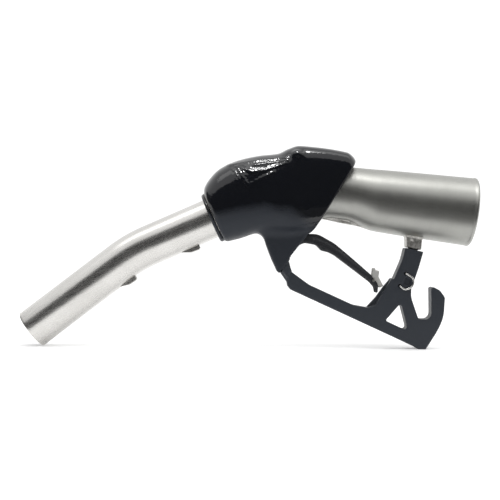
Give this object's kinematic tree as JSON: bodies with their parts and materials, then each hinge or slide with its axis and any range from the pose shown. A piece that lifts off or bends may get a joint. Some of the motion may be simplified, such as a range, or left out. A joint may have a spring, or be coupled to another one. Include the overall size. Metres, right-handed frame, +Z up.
{
  "type": "fuel nozzle",
  "caption": "High-flow automatic shut-off fuel nozzle with bent tube spout, black scuff boot, straight metal barrel, squeeze lever and cast guard with rear hook.",
  "frame": {"origin": "centre of the overall length and width, on the surface that the nozzle rests on", "axes": "+X from the spout tip to the hose inlet, +Y across the nozzle away from the side with the retaining wire, +Z up, with the nozzle resting on its spout tip and guard heel"},
  "size_m": [0.4319, 0.068, 0.1904],
  "materials": {
    "spout_aluminium": "satin brushed tube",
    "cast_aluminium": "cast and tumbled, satin",
    "black_vinyl": "glossy dipped vinyl",
    "black_coating": "satin powder coat",
    "steel": "dull plated steel",
    "brass": "machined",
    "seal_rubber": "matte"
  },
  "bodies": {
    "body": {"body_casting": "cast_aluminium", "scuff_boot": "black_vinyl", "spout_tube": "spout_aluminium", "spout_bushing": "brass", "spout_oring": "seal_rubber", "spout_screw": "steel", "vent_tube": "steel", "catch_lug_front": "steel", "catch_lug_rear": "steel", "check_valve_seat": "brass", "check_valve_guide": "brass", "check_valve_spring": "steel", "valve_seat_ring": "brass", "packing_nut": "brass", "stem_packing": "seal_rubber", "valve_cap": "spout_aluminium", "valve_spring": "steel", "diaphragm": "seal_rubber", "diaphragm_cap": "spout_aluminium", "diaphragm_spring": "steel", "cap_screw_1": "steel", "cap_screw_2": "steel", "cap_screw_3": "steel", "cap_screw_4": "steel", "lever_guard": "black_coating", "retaining_wire": "steel", "guard_screw": "steel", "guard_rear_pin": "steel"},
    "main_valve": {"valve_stem": "steel", "valve_seal": "seal_rubber", "valve_disc": "brass", "valve_disc_nut": "steel"},
    "check_valve": {"check_valve_poppet": "brass"},
    "latch": {"latch_pin": "steel"},
    "plunger": {"latch_plunger": "steel", "latch_ball_1": "steel", "latch_ball_2": "steel", "latch_ball_3": "steel"},
    "lever": {"lever": "black_coating", "lever_pin": "steel", "clip_pin": "steel", "clip_spring": "steel"},
    "clip": {"hold_open_clip": "steel"}
  },
  "joints": [
    {"name": "plunger_drop", "type": "slide", "parent": "body", "child": "plunger", "axis": [0.2113, 0, -0.9774], "range_m": [0, 0.0035], "stiffness_N_per_m": 400, "springref_m": -0.01},
    {"name": "lever_squeeze", "type": "hinge", "parent": "plunger", "child": "lever", "pos_m": [0.0342, 0, 0.0991], "axis": [0, -1, 0], "range_deg": [0, 20], "stiffness_Nm_per_rad": 1.5, "springref_deg": -17.19},
    {"name": "clip_swing", "type": "hinge", "parent": "lever", "child": "clip", "pos_m": [0.1187, 0, 0.0644], "axis": [0, -1, 0], "range_deg": [-20, 40], "stiffness_Nm_per_rad": 0.02},
    {"name": "valve_lift", "type": "slide", "parent": "body", "child": "main_valve", "axis": [0.1392, 0, 0.9903], "range_m": [0, 0.0085], "deforming": ["valve_spring"]},
    {"name": "check_valve_open", "type": "slide", "parent": "body", "child": "check_valve", "axis": [-0.9135, 0, -0.4067], "range_m": [0, 0.005], "stiffness_N_per_m": 300, "springref_m": -0.006, "deforming": ["check_valve_spring"]},
    {"name": "diaphragm_lift", "type": "slide", "parent": "body", "child": "latch", "axis": [-0.2113, 0, 0.9774], "range_m": [0, 0.004], "stiffness_N_per_m": 200, "springref_m": -0.005, "deforming": ["diaphragm_spring"]}
  ],
  "couplings": [
    {"joint": "valve_lift", "follows": "lever_squeeze", "m_per_rad": 0.0238}
  ]
}
